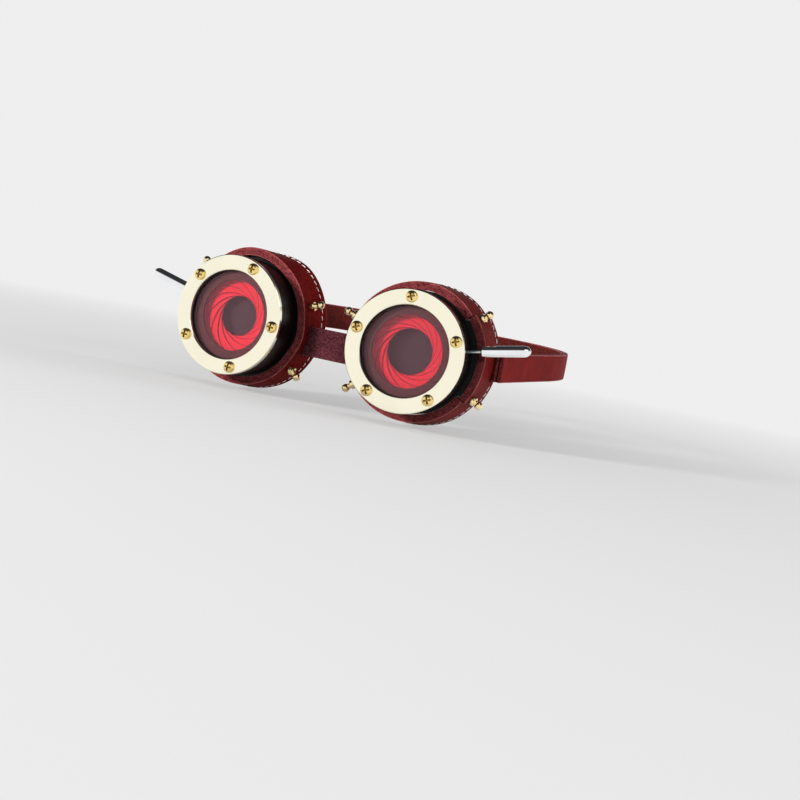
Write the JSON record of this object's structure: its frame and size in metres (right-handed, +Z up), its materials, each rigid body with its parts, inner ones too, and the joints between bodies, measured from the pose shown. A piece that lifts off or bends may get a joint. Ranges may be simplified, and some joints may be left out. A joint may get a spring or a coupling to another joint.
{
  "type": "goggles",
  "caption": "Round steampunk goggles in oxblood leather with pale brass bezels, black tubes, red iris diaphragms worked by side levers, and a buckled head strap.",
  "frame": {"origin": "midway between the rear rims of the two cups, at the height of the lens axes", "axes": "metres, +Z up; the goggles face -Y and the strap runs towards +Y; +X is to the right of a viewer who looks at the front"},
  "size_m": [0.2089, 0.2093, 0.0732],
  "materials": {
    "polished_brass": "polished, very pale cream gold, fine turning marks",
    "yellow_brass": "polished turned brass, yellower than the bezels",
    "gasket_rubber": "matt",
    "lens_glass": "clear, faint grey-violet tint",
    "smoked_glass": "dark smoked safety glass, glossy",
    "black_enamel": "gloss black",
    "matt_black": "matt black",
    "blued_steel": "blued steel, satin",
    "spring_steel": "fine drawn",
    "chrome": "mirror",
    "blade_enamel": "satin bright red",
    "outer_leather": "smooth oxblood, satin, raw cut edges",
    "lining_leather": "burgundy, darker than the wrap",
    "bridge_leather": "pebbled burgundy"
  },
  "bodies": {
    "goggles": {"bridge_strap": "bridge_leather", "bezel_screws": "yellow_brass", "lens_gaskets": "gasket_rubber", "bezel_right": "polished_brass", "lens_right": "lens_glass", "housing_right": "black_enamel", "iris_front_plate_right": "matt_black", "snap_rings_right": "spring_steel", "smoked_lens_right": "smoked_glass", "cup_lining_right": "lining_leather", "cup_wrap_right": "outer_leather", "temple_tab_right": "outer_leather", "ball_studs_right": "yellow_brass", "strap_right": "outer_leather", "strap_lining_right": "lining_leather", "bezel_left": "polished_brass", "lens_left": "lens_glass", "housing_left": "black_enamel", "iris_front_plate_left": "matt_black", "snap_rings_left": "spring_steel", "smoked_lens_left": "smoked_glass", "cup_lining_left": "lining_leather", "cup_wrap_left": "outer_leather", "temple_tab_left": "outer_leather", "ball_studs_left": "yellow_brass", "strap_left": "outer_leather", "strap_lining_left": "lining_leather", "buckle_frame": "yellow_brass"},
    "iris_ring_right": {"iris_drive_ring_right": "blued_steel", "lever_stem_right": "spring_steel", "lever_knob_right": "chrome"},
    "blade_right_1": {"iris_blade_right_1": "blade_enamel"},
    "blade_right_2": {"iris_blade_right_2": "blade_enamel"},
    "blade_right_3": {"iris_blade_right_3": "blade_enamel"},
    "blade_right_4": {"iris_blade_right_4": "blade_enamel"},
    "blade_right_5": {"iris_blade_right_5": "blade_enamel"},
    "blade_right_6": {"iris_blade_right_6": "blade_enamel"},
    "blade_right_7": {"iris_blade_right_7": "blade_enamel"},
    "blade_right_8": {"iris_blade_right_8": "blade_enamel"},
    "blade_right_9": {"iris_blade_right_9": "blade_enamel"},
    "blade_right_10": {"iris_blade_right_10": "blade_enamel"},
    "blade_right_11": {"iris_blade_right_11": "blade_enamel"},
    "blade_right_12": {"iris_blade_right_12": "blade_enamel"},
    "iris_ring_left": {"iris_drive_ring_left": "blued_steel", "lever_stem_left": "spring_steel", "lever_knob_left": "chrome"},
    "blade_left_1": {"iris_blade_left_1": "blade_enamel"},
    "blade_left_2": {"iris_blade_left_2": "blade_enamel"},
    "blade_left_3": {"iris_blade_left_3": "blade_enamel"},
    "blade_left_4": {"iris_blade_left_4": "blade_enamel"},
    "blade_left_5": {"iris_blade_left_5": "blade_enamel"},
    "blade_left_6": {"iris_blade_left_6": "blade_enamel"},
    "blade_left_7": {"iris_blade_left_7": "blade_enamel"},
    "blade_left_8": {"iris_blade_left_8": "blade_enamel"},
    "blade_left_9": {"iris_blade_left_9": "blade_enamel"},
    "blade_left_10": {"iris_blade_left_10": "blade_enamel"},
    "blade_left_11": {"iris_blade_left_11": "blade_enamel"},
    "blade_left_12": {"iris_blade_left_12": "blade_enamel"},
    "prong": {"buckle_prong": "yellow_brass"},
    "keeper": {"strap_keeper": "bridge_leather"}
  },
  "joints": [
    {"name": "lever_turn_right", "type": "hinge", "parent": "goggles", "child": "iris_ring_right", "pos_m": [0.04694, -0.02143, 0], "axis": [-0.0785, 0.9969, 0], "range_deg": [-37.4, 46.2]},
    {"name": "blade_turn_right_1", "type": "hinge", "parent": "goggles", "child": "blade_right_1", "pos_m": [0.04671, -0.02667, 0.02229], "axis": [-0.0785, 0.9969, 0], "range_deg": [-18.57, 22.94]},
    {"name": "blade_turn_right_2", "type": "hinge", "parent": "goggles", "child": "blade_right_2", "pos_m": [0.03568, -0.02754, 0.01898], "axis": [-0.0785, 0.9969, 0], "range_deg": [-18.57, 22.94]},
    {"name": "blade_turn_right_3", "type": "hinge", "parent": "goggles", "child": "blade_right_3", "pos_m": [0.02778, -0.02816, 0.01059], "axis": [-0.0785, 0.9969, 0], "range_deg": [-18.57, 22.94]},
    {"name": "blade_turn_right_4", "type": "hinge", "parent": "goggles", "child": "blade_right_4", "pos_m": [0.02513, -0.02837, -0.00065], "axis": [-0.0785, 0.9969, 0], "range_deg": [-18.57, 22.94]},
    {"name": "blade_turn_right_5", "type": "hinge", "parent": "goggles", "child": "blade_right_5", "pos_m": [0.02843, -0.02811, -0.01171], "axis": [-0.0785, 0.9969, 0], "range_deg": [-18.57, 22.94]},
    {"name": "blade_turn_right_6", "type": "hinge", "parent": "goggles", "child": "blade_right_6", "pos_m": [0.0368, -0.02745, -0.01963], "axis": [-0.0785, 0.9969, 0], "range_deg": [-18.57, 22.94]},
    {"name": "blade_turn_right_7", "type": "hinge", "parent": "goggles", "child": "blade_right_7", "pos_m": [0.04799, -0.02657, -0.02229], "axis": [-0.0785, 0.9969, 0], "range_deg": [-18.57, 22.94]},
    {"name": "blade_turn_right_8", "type": "hinge", "parent": "goggles", "child": "blade_right_8", "pos_m": [0.05902, -0.0257, -0.01898], "axis": [-0.0785, 0.9969, 0], "range_deg": [-18.57, 22.94]},
    {"name": "blade_turn_right_9", "type": "hinge", "parent": "goggles", "child": "blade_right_9", "pos_m": [0.06692, -0.02508, -0.01059], "axis": [-0.0785, 0.9969, 0], "range_deg": [-18.57, 22.94]},
    {"name": "blade_turn_right_10", "type": "hinge", "parent": "goggles", "child": "blade_right_10", "pos_m": [0.06957, -0.02487, 0.00065], "axis": [-0.0785, 0.9969, 0], "range_deg": [-18.57, 22.94]},
    {"name": "blade_turn_right_11", "type": "hinge", "parent": "goggles", "child": "blade_right_11", "pos_m": [0.06627, -0.02513, 0.01171], "axis": [-0.0785, 0.9969, 0], "range_deg": [-18.57, 22.94]},
    {"name": "blade_turn_right_12", "type": "hinge", "parent": "goggles", "child": "blade_right_12", "pos_m": [0.0579, -0.02579, 0.01963], "axis": [-0.0785, 0.9969, 0], "range_deg": [-18.57, 22.94]},
    {"name": "lever_turn_left", "type": "hinge", "parent": "goggles", "child": "iris_ring_left", "pos_m": [-0.04694, -0.02143, 0], "axis": [0.0785, 0.9969, 0], "range_deg": [-44, 39.5]},
    {"name": "blade_turn_left_1", "type": "hinge", "parent": "goggles", "child": "blade_left_1", "pos_m": [-0.05363, -0.02612, -0.02139], "axis": [0.0785, 0.9969, 0], "range_deg": [-21.84, 19.61]},
    {"name": "blade_turn_left_2", "type": "hinge", "parent": "goggles", "child": "blade_left_2", "pos_m": [-0.04213, -0.02703, -0.02168], "axis": [0.0785, 0.9969, 0], "range_deg": [-21.84, 19.61]},
    {"name": "blade_turn_left_3", "type": "hinge", "parent": "goggles", "child": "blade_left_3", "pos_m": [-0.03202, -0.02782, -0.01615], "axis": [0.0785, 0.9969, 0], "range_deg": [-21.84, 19.61]},
    {"name": "blade_turn_left_4", "type": "hinge", "parent": "goggles", "child": "blade_left_4", "pos_m": [-0.02602, -0.0283, -0.0063], "axis": [0.0785, 0.9969, 0], "range_deg": [-21.84, 19.61]},
    {"name": "blade_turn_left_5", "type": "hinge", "parent": "goggles", "child": "blade_left_5", "pos_m": [-0.02574, -0.02832, 0.00524], "axis": [0.0785, 0.9969, 0], "range_deg": [-21.84, 19.61]},
    {"name": "blade_turn_left_6", "type": "hinge", "parent": "goggles", "child": "blade_left_6", "pos_m": [-0.03125, -0.02789, 0.01538], "axis": [0.0785, 0.9969, 0], "range_deg": [-21.84, 19.61]},
    {"name": "blade_turn_left_7", "type": "hinge", "parent": "goggles", "child": "blade_left_7", "pos_m": [-0.04107, -0.02711, 0.02139], "axis": [0.0785, 0.9969, 0], "range_deg": [-21.84, 19.61]},
    {"name": "blade_turn_left_8", "type": "hinge", "parent": "goggles", "child": "blade_left_8", "pos_m": [-0.05257, -0.02621, 0.02168], "axis": [0.0785, 0.9969, 0], "range_deg": [-21.84, 19.61]},
    {"name": "blade_turn_left_9", "type": "hinge", "parent": "goggles", "child": "blade_left_9", "pos_m": [-0.06268, -0.02541, 0.01615], "axis": [0.0785, 0.9969, 0], "range_deg": [-21.84, 19.61]},
    {"name": "blade_turn_left_10", "type": "hinge", "parent": "goggles", "child": "blade_left_10", "pos_m": [-0.06867, -0.02494, 0.0063], "axis": [0.0785, 0.9969, 0], "range_deg": [-21.84, 19.61]},
    {"name": "blade_turn_left_11", "type": "hinge", "parent": "goggles", "child": "blade_left_11", "pos_m": [-0.06896, -0.02492, -0.00524], "axis": [0.0785, 0.9969, 0], "range_deg": [-21.84, 19.61]},
    {"name": "blade_turn_left_12", "type": "hinge", "parent": "goggles", "child": "blade_left_12", "pos_m": [-0.06345, -0.02535, -0.01538], "axis": [0.0785, 0.9969, 0], "range_deg": [-21.84, 19.61]},
    {"name": "prong_lift", "type": "hinge", "parent": "goggles", "child": "prong", "pos_m": [-0.006, 0.16505, 0.00582], "axis": [0, -0.0349, 0.9994], "range_deg": [0, 7]},
    {"name": "keeper_slide", "type": "slide", "parent": "goggles", "child": "keeper", "axis": [1, 0, 0], "range_m": [-0.004, 0.001]}
  ],
  "couplings": [
    {"joint": "blade_turn_right_1", "follows": "lever_turn_right", "ratio": 0.496},
    {"joint": "blade_turn_right_2", "follows": "lever_turn_right", "ratio": 0.496},
    {"joint": "blade_turn_right_3", "follows": "lever_turn_right", "ratio": 0.496},
    {"joint": "blade_turn_right_4", "follows": "lever_turn_right", "ratio": 0.496},
    {"joint": "blade_turn_right_5", "follows": "lever_turn_right", "ratio": 0.496},
    {"joint": "blade_turn_right_6", "follows": "lever_turn_right", "ratio": 0.496},
    {"joint": "blade_turn_right_7", "follows": "lever_turn_right", "ratio": 0.496},
    {"joint": "blade_turn_right_8", "follows": "lever_turn_right", "ratio": 0.496},
    {"joint": "blade_turn_right_9", "follows": "lever_turn_right", "ratio": 0.496},
    {"joint": "blade_turn_right_10", "follows": "lever_turn_right", "ratio": 0.496},
    {"joint": "blade_turn_right_11", "follows": "lever_turn_right", "ratio": 0.496},
    {"joint": "blade_turn_right_12", "follows": "lever_turn_right", "ratio": 0.496},
    {"joint": "blade_turn_left_1", "follows": "lever_turn_left", "ratio": 0.496},
    {"joint": "blade_turn_left_2", "follows": "lever_turn_left", "ratio": 0.496},
    {"joint": "blade_turn_left_3", "follows": "lever_turn_left", "ratio": 0.496},
    {"joint": "blade_turn_left_4", "follows": "lever_turn_left", "ratio": 0.496},
    {"joint": "blade_turn_left_5", "follows": "lever_turn_left", "ratio": 0.496},
    {"joint": "blade_turn_left_6", "follows": "lever_turn_left", "ratio": 0.496},
    {"joint": "blade_turn_left_7", "follows": "lever_turn_left", "ratio": 0.496},
    {"joint": "blade_turn_left_8", "follows": "lever_turn_left", "ratio": 0.496},
    {"joint": "blade_turn_left_9", "follows": "lever_turn_left", "ratio": 0.496},
    {"joint": "blade_turn_left_10", "follows": "lever_turn_left", "ratio": 0.496},
    {"joint": "blade_turn_left_11", "follows": "lever_turn_left", "ratio": 0.496},
    {"joint": "blade_turn_left_12", "follows": "lever_turn_left", "ratio": 0.496}
  ]
}
